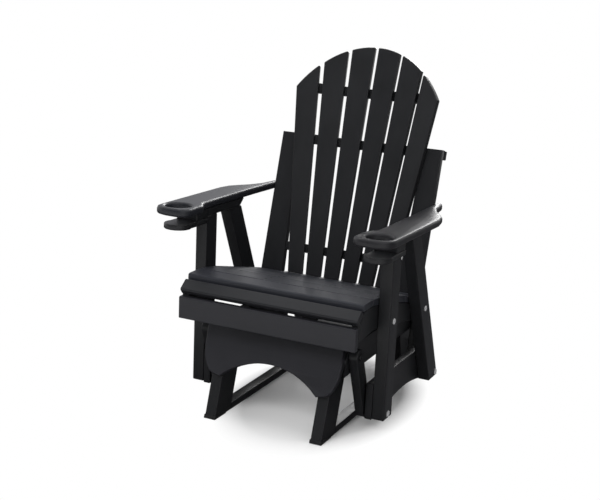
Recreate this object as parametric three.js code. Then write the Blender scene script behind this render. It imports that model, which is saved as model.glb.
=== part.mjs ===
// Adirondack glider: a fan-backed armchair of moulded boards whose carriage hangs on four
// swinging links from a low base that stands on the floor.
// Millimetres. +X is the chair's left, -Y its front, +Z up. While the pieces are laid out,
// y = 0 is the front face of the front posts; at the end the origin moves to the middle
// of the bounding box, on the floor.

import * as THREE from 'three';

// Board stock
const FIT = 0.3;                  // clearance between pieces that touch
const THIN = 22;                  // seat slats, apron, front panel, rear board
const BACK_THIN = 19;             // back slats
const RAIL = 25;                  // seat rails, skirts, arm rails, uprights
const THICK = 38;                 // legs and rails of the base
const SIDE_THICK = 41;            // posts, rear legs, arm rails

// Eased edges and corner radii
const EASE = 2.5;                 // eased edge of most boards
const BLOCK_EASE = 1;
const PLANK_EASE = 1.5;
const CUT_EASE = 2;               // curved rails, cup discs, notched slat
const BROAD_EASE = 3;             // back slats, front panel, links
const CORNER = 4;
const PLANK_CORNER = 3;
const SLAT_NOSE_CORNER = 8;       // front upper corner of the first seat slat
const NOSE_FRONT_CORNER = 7;
const NOSE_BACK_CORNER = 5;
const APRON_CORNER = 5;
const BLOCK_CORNER = 3;
const ARM_RAIL_CORNER = 8;
const SKIRT_CORNER = 8;
const SEAT_RAIL_CORNER = 40;      // where the underside of a seat rail bends
const BACK_RAIL_CORNER = 6;
const TOP_RAIL_CORNER = 12;

// Side frames of the carriage
const OVERALL_WIDTH = 694;        // over the posts
const POST_DEPTH = 67;
const FLOOR_CLEARANCE = 54;       // under posts and rear legs
const LEG_WIDTH = 72;             // rear leg, square across its length
const LEG_FOOT_AHEAD = 14;        // middle of the rear leg's foot ahead of the rear lower pivots
const LEG_LEAN_SHARE = 0.4715;         // forward run of the rear leg for each millimetre of height
const ARM_RAIL_TAIL = 249;        // rear end of the arm rail, on top
const ARM_RAIL_CHAMFER = 26;
const SKIRT_BOTTOM = 50;
const SKIRT_TOP = 171;
const SKIRT_TAIL = 28;            // rear end of the skirt behind the rear lower pivots
const SKIRT_FOOT_SHARE = 0.19;
const SKIRT_FOOT_BACK_SHARE = 0.13;
const SKIRT_RISE = 22;            // of the arch in the skirt's lower edge

// Arms and cup holders
const ARM_TOP = 676;              // height of the arm's top where it is given its level
const ARM_LEVEL_AHEAD = 70;       // that place, ahead of the posts
const ARM_SLOPE = degrees(1.5);   // fall of the arm to the rear
const ARM_THICKNESS = 26;
const ARM_TIP = 185;              // arm's front end ahead of the posts
const ARM_OVERHANG = 55;          // outer edge beyond the posts
const ARM_WIDTH = 100;            // beside the seat
const ARM_FRONT_WIDTH = 127;      // beside the cup hole
const ARM_FLARE_AHEAD = 90;       // ahead of the posts, where the inner edge starts to flare
const ARM_FLARE_END = 20;
const ARM_CORNER = 35;            // front inner corner
const ARM_CORNER_WIDTH = 70;      // front outer corner
const ARM_CORNER_LENGTH = 56;
const ARM_TAPER_BEHIND = 240;      // behind the posts' front face, where the outer edge turns in
const ARM_TAPER_SHARE = 0.36;     // of the taper's length, taken by the turn
const ARM_TURN_BEHIND = 270;       // where the inner edge turns out to pass the upright
const ARM_TAIL_LENGTH = 51;       // straight part beside the upright
const ARM_TURN_SHARE = 0.7;
const ARM_TAIL_WIDTH = 23;
const ARM_TAIL_BEHIND = 110.5;    // arm's rear end behind the foot of the back
const ARM_TAIL_CORNER_LENGTH = 17.5;
const ARM_TAIL_CORNER_WIDTH = 12;
const ARM_ROUND = 8;              // bullnose of the arm's edges
const CUP_INSET = 59.3;           // middle of the cup hole inside the arm's outer edge
const CUP_AHEAD = 118.7;          // cup hole ahead of the posts
const CUP_RADIUS = 42;
const CUP_DEPTH = 57;             // arm top to disc top
const DISC_RADIUS = 44;
const DISC_THICKNESS = 17;
const DISC_TAIL_WIDTH = 80;
const BLOCK_LENGTH = 65;
const BLOCK_INSET = 2;

// Seat, its slats counted from the front
const SEAT_CLEARANCE = 1;         // between the slats' ends and the posts
const SEAT_FRONT = 114;           // first slat's front edge ahead of the posts
const SEAT_FRONT_HEIGHT = 459;
const FIRST_SLAT_WIDTH = 69;      // this slat lies level
const SECOND_SLAT_WIDTH = 94;
const SECOND_SLAT_SLOPE = degrees(8.4);
const SEAT_SLAT_WIDTH = 93.5;     // the other slats
const SEAT_SLOPE = degrees(13.9);
const SEAT_SLAT_COUNT = 6;
const SEAT_SLAT_GAP = 3;
const NOSE_WIDTH = 45;
const NOSE_SLOPE = degrees(38);
const NOSE_DROP = 13;             // nose slat's upper corner below the first slat's top
const NOSE_AHEAD = 14;            // and ahead of its front edge
const APRON_AHEAD = 168;          // apron's front face ahead of the posts
const APRON_DROP = 63;            // apron's top below the front of the seat
const APRON_HEIGHT = 72;
const SEAT_RAIL_TOE_DROP = 113;   // rails' underside below the front of the seat, at their toe
const SEAT_RAIL_BEND = 16;        // where the underside bends, ahead of the posts
const SEAT_RAIL_WAIST_DROP = 104; // how far below it lies there
const SEAT_RAIL_HEEL_DROP = 184;  // and at the rear end
const MIDDLE_RAIL_LEFT = 94;      // right-hand face of the left middle rail, left of the middle
const MIDDLE_RAIL_RIGHT = 90;     // right-hand face of the right one, right of the middle

// Back
const BACK_SEAT_Y = 395.5;        // foot of the slats' front plane behind the posts' front face
const BACK_DROP = 92;             // sizes up the back count from here, below the front of the seat
const BACK_RECLINE = degrees(15.79);
const BACK_RADIUS = 770;          // hollow of the back, seen from above
const BACK_SHOULDER = 46.8125;    // fan's edge inside the uprights' outer edge, at their top
const BACK_FAN_SHARE = 0.0375;          // growth of the pitch for each millimetre up the back
const BACK_GAP = 12;
const BACK_EDGE_TRIM = 2;         // off the outer edges of the outer slats
const BACK_SLATS_A_SIDE = 3;
const BACK_HEIGHT = 815;          // along the slats, to the top of the arch
const ARCH_BEYOND = 41;           // the top line's ellipse reaches this far past the uprights
const ARCH_HALF_HEIGHT = 460;     // its upright half axis
const BACK_RAIL_HEIGHT = 31;
const BACK_RAIL_BACK = 47;        // rear face of the rails behind the slats' front plane
const LOWER_RAIL_AT = 70;
const MIDDLE_RAIL_DROP = 29;      // underside below the uprights' top
const TOP_RAIL_DROP = 175;        // underside below the top of the arch
const TOP_RAIL_INSET = 45;        // end of the top rail inside the fan's edge
const LOWER_RAIL_INSET = 14;      // end of the lower rail inside the uprights' outer edge
const UPRIGHT_INSET = 7;          // outer edge of an upright inside the posts
const UPRIGHT_FOOT_WIDTH = 83;
const UPRIGHT_TOP_WIDTH = 65;
const UPRIGHT_DROP = 328;         // upright's top below the top of the arch

// Floor base
const BASE_LEAN_SHARE = 0.305;          // run of a base leg's edge for each millimetre of height
const BASE_LEG_WIDTH = 100;
const BASE_DROP = 162;            // base's top below the front of the seat
const BASE_CLEARANCE = 1;         // between the base and the links
const FLOOR_RAIL_HEIGHT = 24;
const TOP_RAIL_HEIGHT = 89;
const TOP_RAIL_TAIL = 45;         // rear end of the top rail behind the rear upper pivots
const PANEL_INSET = 7;            // panel's ends inside the links
const PANEL_ABOVE = 3;            // front panel's top edge above the legs
const PANEL_SHOULDER_DROP = 59;   // where its ends start to curve in, below the base's top
const PANEL_TOE_INSET = 37;       // toes inside the panel's ends
const PANEL_TOE_DROP = 152;
const PANEL_SHOULDER_SHARE = 0.5;
const PANEL_TOE_SHARE = 0.1;
const PANEL_ARCH_INSET = 69;
const PANEL_ARCH_DROP = 158;
const PANEL_ARCH_RISE = 65;
const REAR_BOARD_BOTTOM = 45;
const REAR_BOARD_HEIGHT = 85;

// Glide links and pivots
const LINK_WIDTH = 52;
const LINK_THICKNESS = 30;
const LINK_CLEARANCE = 4.7;       // between a link and the skirt beside it
const PIVOT_LOW = 71;             // height of the lower pivots
const FRONT_LOW_Y = 31;
const REAR_LOW_Y = 472;
const FRONT_LINK_RUN = 79;        // a front link's upper pivot ahead of its lower one
const FRONT_TOP_DROP = 29;        // front upper pivots below the base's top
const FRONT_TOP_BEHIND = 28.26;   // and behind the legs' front edge
const REAR_LINK_RUN = 28;         // a rear link's upper pivot behind its lower one
const REAR_TOP_AHEAD = 54.26;     // rear upper pivots ahead of the legs' rear edge
const BOLT_RADIUS = 6;
const BOLT_HEAD_RADIUS = 11;
const BOLT_HEAD_HEIGHT = 6;
const BOLT_DOME_SHARE = 0.85;
const BOLT_RIM_SHARE = 0.6;
const WASHER_RADIUS = 14;
const WASHER_THICKNESS = 2;
const NUT_HEIGHT = 7;
const NUT_RADIUS = 9.5;
const OPEN_PIVOT_PLAY = 3.5;      // radial play of the bolt in the rear link's lower eye

// Sizes that follow from the ones above
const outer = OVERALL_WIDTH / 2;
const postInner = outer - SIDE_THICK;
const innerPly = postInner - FIT - RAIL;
const postTopDepth = ARM_THICKNESS + RAIL + 2 * FIT;
const armOuter = outer + ARM_OVERHANG;
const armInner = armOuter - ARM_WIDTH;
const armInnerFront = armOuter - ARM_FRONT_WIDTH;
const cupX = armOuter - CUP_INSET;
const seatWidth = 2 * (postInner - SEAT_CLEARANCE);
const uprightOuter = postInner - UPRIGHT_INSET;
const uprightTop = BACK_HEIGHT - UPRIGHT_DROP;
const topRailAt = BACK_HEIGHT - TOP_RAIL_DROP;
const backSeatZ = SEAT_FRONT_HEIGHT - BACK_DROP;
const armTailEnd = BACK_SEAT_Y + ARM_TAIL_BEHIND;
const armTurnEnd = armTailEnd - ARM_TAIL_LENGTH;
const skirtLength = REAR_LOW_Y + SKIRT_TAIL;
const legFoot = REAR_LOW_Y - LEG_FOOT_AHEAD;
const backPitch = (uprightOuter - BACK_SHOULDER) / BACK_SLATS_A_SIDE - BACK_FAN_SHARE * uprightTop;
const archHalfWidth = uprightOuter + ARCH_BEYOND;
const linkOuter = innerPly - LINK_CLEARANCE;
const linkInner = linkOuter - LINK_THICKNESS;
const topRailInner = linkInner - BASE_CLEARANCE - THICK + FIT;
const baseInner = topRailInner - FIT - THICK;
const panelHalfWidth = linkInner - PANEL_INSET;
const panelToeX = panelHalfWidth - PANEL_TOE_INSET;
const panelArchHalf = panelHalfWidth - PANEL_ARCH_INSET;
const baseLegRun = BASE_LEG_WIDTH * Math.hypot(1, BASE_LEAN_SHARE);
const baseHeight = SEAT_FRONT_HEIGHT - BASE_DROP;
const frontTopY = FRONT_LOW_Y - FRONT_LINK_RUN;
const frontTopZ = baseHeight - FRONT_TOP_DROP;
const rearTopY = REAR_LOW_Y + REAR_LINK_RUN;
const linkLength = Math.hypot(FRONT_LINK_RUN, frontTopZ - PIVOT_LOW);
const rearTopZ = PIVOT_LOW + Math.sqrt(linkLength ** 2 - REAR_LINK_RUN ** 2);
const baseFront = frontTopY - FRONT_TOP_BEHIND - BASE_LEAN_SHARE * frontTopZ;
const baseBack = rearTopY + REAR_TOP_AHEAD + BASE_LEAN_SHARE * frontTopZ;
const topRailBack = rearTopY + TOP_RAIL_TAIL;
const boreRadius = BOLT_RADIUS + FIT;

// Pivots, as [y, z]
const frontLow = [FRONT_LOW_Y, PIVOT_LOW];
const rearLow = [REAR_LOW_Y, PIVOT_LOW];
const frontTop = [frontTopY, frontTopZ];
const rearTop = [rearTopY, rearTopZ];

const sides = { left: 1, right: -1 };

const glider = new THREE.Group();
const armrests = new THREE.Group();
const back = new THREE.Group();

function degrees(angle) {
  return THREE.MathUtils.degToRad(angle);
}

// Finish: dark grey moulded board, and blackened steel for the bolts
function boardFinish() {
  return new THREE.MeshStandardMaterial({ color: 0x2c2e33, roughness: 0.4, metalness: 0 });
}

function steelFinish() {
  return new THREE.MeshStandardMaterial({ color: 0x1b1b1c, roughness: 0.35, metalness: 0.8 });
}

function add(parent, name, geometry, material = boardFinish()) {
  const mesh = new THREE.Mesh(geometry, material);
  mesh.name = name;
  parent.add(mesh);
  return mesh;
}

// A closed outline through corners [a, b, radius], each corner rounded by its radius
function outline(corners) {
  const shape = new THREE.Shape();
  const place = ([a, b]) => new THREE.Vector2(a, b);
  corners.forEach((corner, index) => {
    const here = place(corner);
    const radius = corner[2] ?? 0;
    const arrive = here.clone().sub(place(corners.at(index - 1))).normalize();
    const leave = place(corners[(index + 1) % corners.length]).sub(here).normalize();
    const turn = arrive.cross(leave);
    const half = (Math.PI - Math.acos(THREE.MathUtils.clamp(arrive.dot(leave), -1, 1))) / 2;
    const reach = radius / Math.tan(half);
    const start = here.clone().addScaledVector(arrive, -reach);
    const end = here.clone().addScaledVector(leave, reach);
    if (index === 0) {
      shape.moveTo(start.x, start.y);
    } else {
      shape.lineTo(start.x, start.y);
    }
    if (radius > 0) {
      const towards = leave.clone().sub(arrive).normalize();
      const centre = here.clone().addScaledVector(towards, radius / Math.sin(half));
      const from = start.clone().sub(centre).angle();
      const to = end.clone().sub(centre).angle();
      shape.absarc(centre.x, centre.y, radius, from, to, turn < 0);
    }
  });
  shape.closePath();
  return shape;
}

// Points of a circular arch from one place to another, rising above the chord
function arch([a, b], [c, d], rise, steps) {
  const half = Math.hypot(c - a, d - b) / 2;
  const radius = (half ** 2 + rise ** 2) / (2 * rise);
  const points = [];
  for (let step = 0; step <= steps; step += 1) {
    const along = -half + (2 * half * step) / steps;
    const height = Math.sqrt(radius ** 2 - along ** 2) - (radius - rise);
    const portion = step / steps;
    points.push([a + (c - a) * portion, b + (d - b) * portion + height]);
  }
  return points;
}

// A round hole in an outline
function bore([a, b], radius, facets = 12) {
  const hole = new THREE.Path();
  const points = [];
  for (let step = 0; step < facets; step += 1) {
    const angle = (-2 * Math.PI * step) / facets;
    points.push(new THREE.Vector2(a + radius * Math.cos(angle), b + radius * Math.sin(angle)));
  }
  hole.setFromPoints(points);
  hole.closePath();
  return hole;
}

// A board: an outline given its thickness, with eased edges
function board(shape, thickness, ease = EASE, easeSteps = 1, arcSteps = 2) {
  return new THREE.ExtrudeGeometry(shape, {
    depth: thickness - 2 * ease,
    bevelEnabled: true,
    bevelThickness: ease,
    bevelSize: ease,
    bevelOffset: -ease,
    bevelSegments: easeSteps,
    curveSegments: arcSteps,
  }).translate(0, 0, ease);
}

// Turns a board whose outline is drawn in (y, z) so that its thickness runs along +X
function onEdge(geometry) {
  const x = new THREE.Vector3(1, 0, 0);
  const y = new THREE.Vector3(0, 1, 0);
  const z = new THREE.Vector3(0, 0, 1);
  return geometry.applyMatrix4(new THREE.Matrix4().makeBasis(y, z, x));
}

// Turns a board whose outline is drawn in (x, z) so that its thickness runs along -Y
function facing(geometry) {
  return geometry.rotateX(Math.PI / 2);
}

// One board in each side frame, standing on edge between two distances from the middle plane
function sideBoards(parent, name, shape, inner, thickness) {
  for (const [side, sign] of Object.entries(sides)) {
    const mesh = add(parent, `${name}_${side}`, onEdge(board(shape, thickness)));
    mesh.position.x = sign > 0 ? inner : -inner - thickness;
  }
}

// Height of a line that runs parallel to the arm's top, a depth below it
function underArm(y, depth) {
  return ARM_TOP - (y + ARM_LEVEL_AHEAD) * Math.tan(ARM_SLOPE) - depth / Math.cos(ARM_SLOPE);
}

// Upper end of a slanting edge of the rear leg that starts from the floor clearance
function legHead(foot) {
  const run = 1 - Math.tan(ARM_SLOPE) * LEG_LEAN_SHARE;
  const rise = (underArm(foot, postTopDepth) - FLOOR_CLEARANCE) / run;
  return [foot - LEG_LEAN_SHARE * rise, FLOOR_CLEARANCE + rise];
}

// Posts, rear legs, arm rails and skirts
function sideFrames() {
  const post = outline([
    [0, FLOOR_CLEARANCE, CORNER], [POST_DEPTH, FLOOR_CLEARANCE, CORNER],
    [POST_DEPTH, underArm(POST_DEPTH, postTopDepth)], [0, underArm(0, postTopDepth)],
  ]);
  post.holes.push(bore(frontLow, boreRadius));
  sideBoards(glider, 'front_post', post, postInner, SIDE_THICK);

  const halfRun = (LEG_WIDTH * Math.hypot(1, LEG_LEAN_SHARE)) / 2;
  const toe = legFoot - halfRun;
  const heel = legFoot + halfRun;
  const leg = outline([
    [toe, FLOOR_CLEARANCE, CORNER], [heel, FLOOR_CLEARANCE, CORNER], legHead(heel), legHead(toe),
  ]);
  leg.holes.push(bore(rearLow, boreRadius));
  sideBoards(glider, 'rear_leg', leg, postInner, SIDE_THICK);

  const above = ARM_THICKNESS + FIT;
  const below = above + RAIL;
  const chamfer = ARM_RAIL_TAIL - ARM_RAIL_CHAMFER;
  const armRail = outline([
    [0, underArm(0, below)], [chamfer, underArm(chamfer, below), ARM_RAIL_CORNER],
    [ARM_RAIL_TAIL, underArm(ARM_RAIL_TAIL, above)], [0, underArm(0, above)],
  ]);
  sideBoards(glider, 'arm_rail', armRail, postInner, SIDE_THICK);

  const archFrom = [skirtLength * SKIRT_FOOT_SHARE, SKIRT_BOTTOM];
  const archTo = [skirtLength * (1 - SKIRT_FOOT_BACK_SHARE), SKIRT_BOTTOM];
  const skirt = outline([
    [0, SKIRT_BOTTOM, CORNER], ...arch(archFrom, archTo, SKIRT_RISE, 10),
    [skirtLength, SKIRT_BOTTOM, CORNER], [skirtLength, SKIRT_TOP, SKIRT_CORNER],
    [0, SKIRT_TOP, CORNER],
  ]);
  skirt.holes.push(bore(frontLow, boreRadius), bore(rearLow, boreRadius));
  sideBoards(glider, 'skirt', skirt, innerPly, RAIL);
}

// Outline of the left arm, seen from above
function armOutline() {
  const tailInner = uprightOuter + FIT;
  const tailOuter = tailInner + ARM_TAIL_WIDTH;
  const bend = ARM_TAPER_BEHIND + ARM_TAPER_SHARE * (armTailEnd - ARM_TAPER_BEHIND);
  const turn = ARM_TURN_BEHIND + ARM_TURN_SHARE * (armTurnEnd - ARM_TURN_BEHIND);
  const flare = (ARM_FLARE_AHEAD + ARM_FLARE_END) / 2;
  const half = ARM_CORNER / 2;
  const arm = new THREE.Shape();
  arm.moveTo(armInnerFront + ARM_CORNER, -ARM_TIP);
  arm.lineTo(armOuter - ARM_CORNER_WIDTH, -ARM_TIP);
  arm.bezierCurveTo(
    armOuter - half, -ARM_TIP, armOuter, -ARM_TIP + half, armOuter, -ARM_TIP + ARM_CORNER_LENGTH,
  );
  arm.lineTo(armOuter, ARM_TAPER_BEHIND);
  arm.bezierCurveTo(armOuter, bend, tailOuter, bend, tailOuter, armTailEnd - ARM_TAIL_CORNER_LENGTH);
  arm.bezierCurveTo(
    tailOuter, armTailEnd - ARM_TAIL_CORNER_LENGTH / 2,
    tailOuter - ARM_TAIL_CORNER_WIDTH / 2, armTailEnd,
    tailOuter - ARM_TAIL_CORNER_WIDTH, armTailEnd,
  );
  arm.lineTo(tailInner, armTailEnd);
  arm.lineTo(tailInner, armTurnEnd);
  arm.bezierCurveTo(tailInner, turn, armInner, turn, armInner, ARM_TURN_BEHIND);
  arm.lineTo(armInner, -ARM_FLARE_END);
  arm.bezierCurveTo(
    armInner, -flare, armInnerFront, -flare, armInnerFront, -ARM_FLARE_AHEAD,
  );
  arm.lineTo(armInnerFront, -ARM_TIP + ARM_CORNER);
  arm.bezierCurveTo(
    armInnerFront, -ARM_TIP + half, armInnerFront + half, -ARM_TIP,
    armInnerFront + ARM_CORNER, -ARM_TIP,
  );
  arm.holes.push(bore([cupX, -CUP_AHEAD], CUP_RADIUS, 32));
  return arm;
}

// Rear end of a piece that hangs a depth below the arm's top and butts on the upright post
function postFace(depth) {
  return depth * Math.tan(ARM_SLOPE) - FIT;
}

// Outline of a cup disc: round under the cup hole, with a straight tail back to the post
function discOutline() {
  const half = DISC_TAIL_WIDTH / 2;
  const meet = Math.acos(half / DISC_RADIUS);
  const disc = new THREE.Shape();
  disc.absarc(cupX, -CUP_AHEAD, DISC_RADIUS, Math.PI - meet, meet, false);
  disc.lineTo(cupX + half, postFace(CUP_DEPTH));
  disc.lineTo(cupX - half, postFace(CUP_DEPTH));
  disc.closePath();
  return disc;
}

// Arms, each with its cup disc and the block that spaces the disc from the arm. Their group
// has its origin on the arm's top and falls to the rear with it.
function arms() {
  armrests.position.set(0, -ARM_LEVEL_AHEAD, ARM_TOP);
  armrests.rotation.x = -ARM_SLOPE;
  const inset = DISC_TAIL_WIDTH / 2 - BLOCK_INSET;
  const end = postFace(ARM_THICKNESS);
  const block = outline([
    [cupX - inset, -BLOCK_LENGTH, BLOCK_CORNER], [cupX + inset, -BLOCK_LENGTH, BLOCK_CORNER],
    [cupX + inset, end], [cupX - inset, end],
  ]);
  const blockHeight = CUP_DEPTH - ARM_THICKNESS - 2 * FIT;
  for (const [side, sign] of Object.entries(sides)) {
    const pieces = [
      [`arm_${side}`, board(armOutline(), ARM_THICKNESS, ARM_ROUND, 2, 5), -ARM_THICKNESS],
      [`cup_disc_${side}`, board(discOutline(), DISC_THICKNESS, CUT_EASE, 1, 10), -CUP_DEPTH - DISC_THICKNESS],
      [`cup_block_${side}`, board(block, blockHeight, BLOCK_EASE), FIT - CUP_DEPTH],
    ];
    for (const [name, geometry, level] of pieces) {
      const mesh = add(armrests, name, geometry);
      mesh.position.set(0, ARM_LEVEL_AHEAD, level);
      mesh.scale.x = sign;
    }
  }
}

// Upper faces of the seat slats: where each starts, as [y, z], its fall and its width
function seatPlanes() {
  const planes = [{ at: [-SEAT_FRONT, SEAT_FRONT_HEIGHT], slope: 0, width: FIRST_SLAT_WIDTH }];
  for (let index = 1; index < SEAT_SLAT_COUNT; index += 1) {
    const { at: [y, z], slope: before, width: run } = planes[index - 1];
    const slope = index === 1 ? SECOND_SLAT_SLOPE : SEAT_SLOPE;
    const crease = slope - before;
    const gap = SEAT_SLAT_GAP + (THIN * Math.tan(crease)) / 2;
    const at = [
      y + run * Math.cos(before) + gap * Math.cos(slope - crease / 2),
      z - run * Math.sin(before) - gap * Math.sin(slope - crease / 2),
    ];
    planes.push({ at, slope, width: index === 1 ? SECOND_SLAT_WIDTH : SEAT_SLAT_WIDTH });
  }
  return planes;
}

// Height at y of a plane, or of one a depth square below it
function planeHeight({ at, slope }, y, depth = 0) {
  return at[1] - (y - at[0]) * Math.tan(slope) - depth / Math.cos(slope);
}

// Where two planes, both lowered by a depth, meet
function crossing(first, second, depth) {
  const step = planeHeight(first, 0, depth) - planeHeight(second, 0, depth);
  const y = step / (Math.tan(first.slope) - Math.tan(second.slope));
  return [y, planeHeight(first, y, depth)];
}

// Upper face of the nose slat, which falls to the front
function nosePlane() {
  return { at: [-SEAT_FRONT - NOSE_AHEAD, SEAT_FRONT_HEIGHT - NOSE_DROP], slope: -NOSE_SLOPE };
}

// Seat rails: the top edge follows the undersides of the slats and of the nose slat, and the
// square front end carries the apron
function seatRails() {
  const depth = THIN + FIT;
  const planes = seatPlanes();
  const last = planes.at(-1);
  const front = -APRON_AHEAD + THIN + FIT;
  const rear = last.at[0] + last.width * Math.cos(last.slope);
  const runs = [nosePlane(), ...planes];
  const knees = runs.slice(1).flatMap((plane, index) => {
    const before = runs[index];
    return plane.slope === before.slope ? [] : [crossing(before, plane, depth)];
  });
  const profile = outline([
    [front, SEAT_FRONT_HEIGHT - SEAT_RAIL_TOE_DROP, CORNER],
    [-SEAT_RAIL_BEND, SEAT_FRONT_HEIGHT - SEAT_RAIL_WAIST_DROP, SEAT_RAIL_CORNER],
    [rear, SEAT_FRONT_HEIGHT - SEAT_RAIL_HEEL_DROP, CORNER],
    [rear, planeHeight(last, rear, depth)],
    ...knees.reverse(), [front, planeHeight(nosePlane(), front, depth)],
  ]);
  sideBoards(glider, 'seat_side_rail', profile, innerPly, RAIL);
  const left = add(glider, 'seat_middle_rail_left', onEdge(board(profile, RAIL)));
  left.position.x = MIDDLE_RAIL_LEFT;
  const right = add(glider, 'seat_middle_rail_right', onEdge(board(profile, RAIL)));
  right.position.x = -MIDDLE_RAIL_RIGHT;
}

// A plank across the chair: a section drawn in (y, z), as long as the seat is wide, with its
// origin placed on a plane and turned to the plane's fall
function plank(name, section, { at, slope }) {
  const mesh = add(glider, name, onEdge(board(section, seatWidth, PLANK_EASE)));
  mesh.position.set(-seatWidth / 2, ...at);
  mesh.rotation.x = -slope;
}

// Seat slats, nose slat and apron
function seatBoards() {
  const planes = seatPlanes();
  planes.slice(0, -1).forEach((plane, index) => {
    const nose = index === 0 ? SLAT_NOSE_CORNER : PLANK_CORNER;
    plank(`seat_slat_${index + 1}`, outline([
      [0, -THIN, PLANK_CORNER], [plane.width, -THIN, PLANK_CORNER],
      [plane.width, 0, PLANK_CORNER], [0, 0, nose],
    ]), plane);
  });
  lastSeatSlat(planes.at(-1));

  plank('seat_nose_slat', outline([
    [-NOSE_WIDTH, -THIN, PLANK_CORNER], [0, -THIN, PLANK_CORNER],
    [0, 0, NOSE_BACK_CORNER], [-NOSE_WIDTH, 0, NOSE_FRONT_CORNER],
  ]), nosePlane());

  plank('apron', outline([
    [0, -APRON_HEIGHT, PLANK_CORNER], [THIN, -APRON_HEIGHT, PLANK_CORNER],
    [THIN, 0, PLANK_CORNER], [0, 0, APRON_CORNER],
  ]), { at: [-APRON_AHEAD, SEAT_FRONT_HEIGHT - APRON_DROP], slope: 0 });
}

// The last seat slat runs on under the back and is notched round the two uprights
function lastSeatSlat({ at, slope, width }) {
  const dy = BACK_SEAT_Y - at[0];
  const dz = backSeatZ - at[1];
  const along = dy * Math.cos(slope) - dz * Math.sin(slope);
  const above = dy * Math.sin(slope) + dz * Math.cos(slope);
  const lean = BACK_RECLINE - slope;
  const notch = along + uprightFront() / Math.cos(lean) - (above + THIN) * Math.tan(lean) - 2 * FIT;
  const end = seatWidth / 2;
  const cheek = uprightInner(-above - THIN) - FIT;
  const slat = outline([
    [-end, 0, PLANK_CORNER], [end, 0, PLANK_CORNER], [end, notch, PLANK_CORNER], [cheek, notch],
    [cheek, width, PLANK_CORNER], [-cheek, width, PLANK_CORNER], [-cheek, notch],
    [-end, notch, PLANK_CORNER],
  ]);
  const mesh = add(glider, `seat_slat_${SEAT_SLAT_COUNT}`, board(slat, THIN, CUT_EASE));
  mesh.position.set(0, at[0] - THIN * Math.sin(slope), at[1] - THIN * Math.cos(slope));
  mesh.rotation.x = -slope;
}

// Middle of a gap between back slats, counted from the middle plane, at a height up the back
function fanLine(count, height) {
  return count * (backPitch + BACK_FAN_SHARE * height);
}

// Where slat number `count` (1 is next to the middle) touches the hollow of the back
function slatTangent(count) {
  const half = topRailAt / 2;
  const middle = (fanLine(count - 1, half) + fanLine(count, half)) / 2;
  const turn = Math.asin(middle / BACK_RADIUS);
  return { middle, turn, offset: BACK_RADIUS * (1 - Math.cos(turn)) };
}

// Rear face of that slat, behind the back's front plane, at a distance from the middle plane
function slatRear(count, x) {
  const { middle, turn, offset } = slatTangent(count);
  return -offset - (x - middle) * Math.tan(turn) + BACK_THIN / Math.cos(turn);
}

// Inner edge of the left upright at a height up the back: the board tapers from its foot
function uprightInner(height) {
  const taper = (UPRIGHT_FOOT_WIDTH - UPRIGHT_TOP_WIDTH) / uprightTop;
  return uprightOuter - UPRIGHT_FOOT_WIDTH + taper * height;
}

// Front face of the uprights, set against the rear faces of the outer slats from the height
// where their edges start to lap the uprights
function uprightFront() {
  const edge = (height) => fanLine(BACK_SLATS_A_SIDE, height) - BACK_GAP / 2;
  const apart = uprightInner(0) - edge(0);
  const nearing = apart - uprightInner(uprightTop) + edge(uprightTop);
  const lap = Math.max(0, (uprightTop * apart) / nearing);
  return slatRear(BACK_SLATS_A_SIDE, uprightInner(lap)) + FIT;
}

// Height up the back, at a distance behind the slats' front plane, of a plane of the seat
function seatUnderBack(y, depth = 0) {
  const plane = seatPlanes().at(-1);
  const drop = backSeatZ - planeHeight(plane, BACK_SEAT_Y, depth);
  const rise = (y - drop * Math.sin(BACK_RECLINE)) * Math.tan(BACK_RECLINE - plane.slope);
  return rise - drop * Math.cos(BACK_RECLINE);
}

// Height of the arched top line at a distance from the middle plane
function archTop(x) {
  return BACK_HEIGHT - ARCH_HALF_HEIGHT * (1 - Math.sqrt(1 - (x / archHalfWidth) ** 2));
}

// Height at which a slat edge, a slanting line, reaches the arched top line
function edgeTop(edge) {
  let height = BACK_HEIGHT;
  for (let pass = 0; pass < 30; pass += 1) {
    height = archTop(edge(height));
  }
  return height;
}

// Back slats: flat boards, tapering to the foot, each turned to lie on the hollow of the back
function backSlats() {
  const topSteps = 6;
  for (const [side, sign] of Object.entries(sides)) {
    for (let count = 1; count <= BACK_SLATS_A_SIDE; count += 1) {
      const { middle, turn, offset } = slatTangent(count);
      const near = (height) => fanLine(count - 1, height) + BACK_GAP / 2;
      const trim = count === BACK_SLATS_A_SIDE ? BACK_EDGE_TRIM : 0;
      const far = (height) => fanLine(count, height) - BACK_GAP / 2 - trim;
      const nearTop = edgeTop(near);
      const farTop = edgeTop(far);
      const across = (x) => (x - middle) / Math.cos(turn);
      const foot = seatUnderBack(slatRear(count, near(0))) + FIT;
      const corners = [[across(near(foot)), foot], [across(far(foot)), foot]];
      for (let step = 0; step <= topSteps; step += 1) {
        const x = far(farTop) + ((near(nearTop) - far(farTop)) * step) / topSteps;
        const atEnd = step === 0 || step === topSteps;
        corners.push([across(x), archTop(x), atEnd ? CORNER : 0]);
      }
      const slat = facing(board(outline(corners), BACK_THIN, BROAD_EASE, 2));
      const mesh = add(back, `back_slat_${side}_${count}`, slat.translate(0, BACK_THIN, 0));
      mesh.position.set(sign * middle, -offset, 0);
      mesh.rotation.z = -sign * turn;
      mesh.scale.x = sign;
    }
  }
}

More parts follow.
